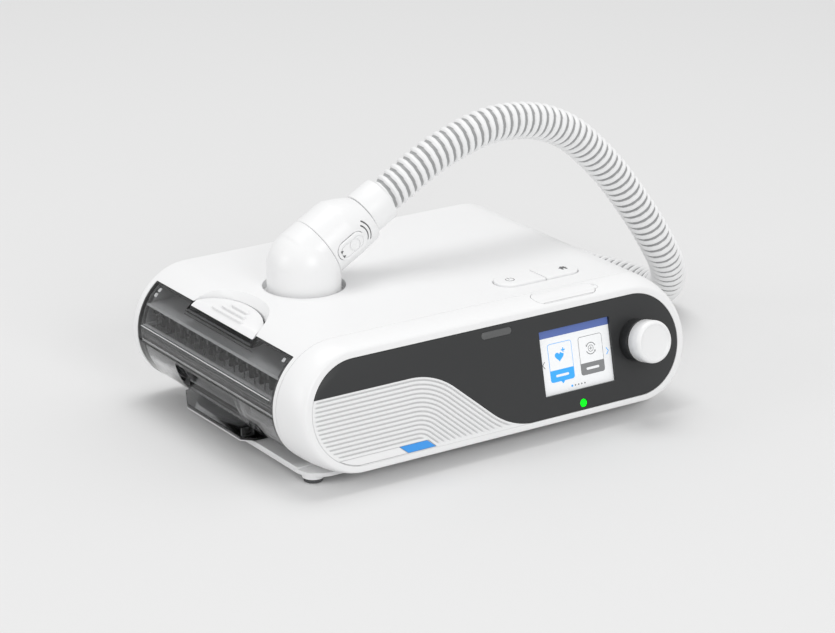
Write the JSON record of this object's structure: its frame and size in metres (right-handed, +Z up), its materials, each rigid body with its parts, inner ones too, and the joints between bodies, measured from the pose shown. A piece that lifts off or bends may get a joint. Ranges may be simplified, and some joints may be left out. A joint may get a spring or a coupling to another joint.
{
  "type": "bedside ventilator",
  "caption": "Rounded bedside breathing unit with screen, rotary knob, slide-out water chamber, swivelling elbow and a ribbed hose.",
  "frame": {"origin": "middle of the unit's footprint, on the floor under its feet; the loose hose isn't counted", "axes": "+X towards the knob end, along the long front; +Y from the screen to the rear; +Z up"},
  "size_m": [0.4271, 0.4123, 0.192],
  "materials": {
    "housing_white": "satin white moulding",
    "panel_white": "fine grooved white moulding",
    "window_black": "glossy dark window",
    "screen": "lit display",
    "circuit_board": "green solder mask",
    "lamp_green": "translucent lens",
    "accent_blue": "satin blue",
    "black_plastic": "black moulding",
    "metal_bright": "satin metal",
    "foot_rubber": "grey rubber",
    "seal_rubber": "pale silicone",
    "chamber_smoke": "smoky clear plastic",
    "fin_grey": "grey moulding",
    "cuff_white": "soft white cuff",
    "hose_film": "ribbed hose film",
    "filter_felt": "pale filter felt"
  },
  "bodies": {
    "housing": {"front_cover": "housing_white", "front_window": "window_black", "grooved_panel": "panel_white", "label_plate": "panel_white", "colour_tab": "accent_blue", "screen_panel": "screen", "display_board": "circuit_board", "status_lamp": "lamp_green", "sensor_window": "window_black", "knob_skirt": "black_plastic", "encoder_body": "metal_bright", "top_shell": "housing_white", "bottom_shell": "housing_white", "foot_front_left": "foot_rubber", "foot_front_right": "foot_rubber", "foot_rear_left": "foot_rubber", "foot_rear_right": "foot_rubber", "base_screw_1": "metal_bright", "base_screw_2": "metal_bright", "base_screw_3": "metal_bright", "base_screw_4": "metal_bright", "power_switch": "black_plastic", "home_switch": "black_plastic", "button_board": "circuit_board", "card_socket": "black_plastic", "memory_card": "accent_blue", "heater_plate": "metal_bright", "outlet_collar": "black_plastic", "outlet_seal": "seal_rubber", "outlet_duct": "cuff_white", "power_inlet": "black_plastic", "inlet_filter": "filter_felt", "blower_case": "black_plastic", "blower_motor": "metal_bright", "air_duct": "cuff_white", "main_board": "circuit_board", "breathing_hose": "hose_film", "hose_end_cuff": "cuff_white"},
    "knob_push": {"encoder_plunger": "black_plastic"},
    "knob": {"knob_cap": "housing_white", "knob_shaft": "metal_bright"},
    "power_button": {"power_button": "housing_white"},
    "home_button": {"home_button": "housing_white"},
    "card_door": {"card_door": "housing_white"},
    "chamber": {"chamber_lid": "chamber_smoke", "chamber_tub": "chamber_smoke", "chamber_seal": "seal_rubber", "chamber_fins": "fin_grey"},
    "latch": {"chamber_latch": "housing_white"},
    "elbow": {"elbow_base": "housing_white", "elbow_outlet": "housing_white", "hose_cuff": "cuff_white"},
    "elbow_button": {"elbow_release": "cuff_white"},
    "impeller": {"blower_impeller": "cuff_white"},
    "filter_cover": {"filter_cover": "housing_white"}
  },
  "joints": [
    {"name": "knob_press", "type": "slide", "parent": "housing", "child": "knob_push", "axis": [0, 0.9756, -0.2195], "range_m": [0, 0.0006], "stiffness_N_per_m": 4000, "springref_m": -0.0003},
    {"name": "knob_turn", "type": "hinge", "parent": "knob_push", "child": "knob", "pos_m": [0.1102, -0.09674, 0.05341], "axis": [0, -0.9756, 0.2195], "continuous": true},
    {"name": "power_button_press", "type": "slide", "parent": "housing", "child": "power_button", "axis": [0, 0, -1], "range_m": [0, 0.0006], "stiffness_N_per_m": 3000, "springref_m": -0.0003},
    {"name": "home_button_press", "type": "slide", "parent": "housing", "child": "home_button", "axis": [0, 0, -1], "range_m": [0, 0.0006], "stiffness_N_per_m": 3000, "springref_m": -0.0003},
    {"name": "card_door_hinge", "type": "hinge", "parent": "housing", "child": "card_door", "pos_m": [0.037, -0.07911, 0.092], "axis": [0, -1, 0], "range_deg": [0, 100]},
    {"name": "chamber_slide", "type": "slide", "parent": "housing", "child": "chamber", "axis": [-1, 0, 0], "range_m": [0, 0.11]},
    {"name": "latch_press", "type": "hinge", "parent": "chamber", "child": "latch", "pos_m": [-0.1205, 0.02149, 0.0782], "axis": [0, -1, 0], "range_deg": [0, 3], "stiffness_Nm_per_rad": 4, "springref_deg": -1.15},
    {"name": "elbow_swivel", "type": "hinge", "parent": "housing", "child": "elbow", "pos_m": [-0.074, 0.02749, 0.092], "axis": [0, 0, 1], "range_deg": [-60, 60], "deforming": ["breathing_hose"]},
    {"name": "release_press", "type": "slide", "parent": "elbow", "child": "elbow_button", "axis": [0, 1, 0], "range_m": [0, 0.0012], "stiffness_N_per_m": 1500, "springref_m": -0.0003},
    {"name": "impeller_spin", "type": "hinge", "parent": "housing", "child": "impeller", "pos_m": [0.03, 0.05249, 0.03], "axis": [0, 0, 1], "continuous": true},
    {"name": "filter_cover_hinge", "type": "hinge", "parent": "housing", "child": "filter_cover", "pos_m": [0.051, 0.12049, 0.058], "axis": [0, 0, 1], "range_deg": [0, 90]}
  ]
}
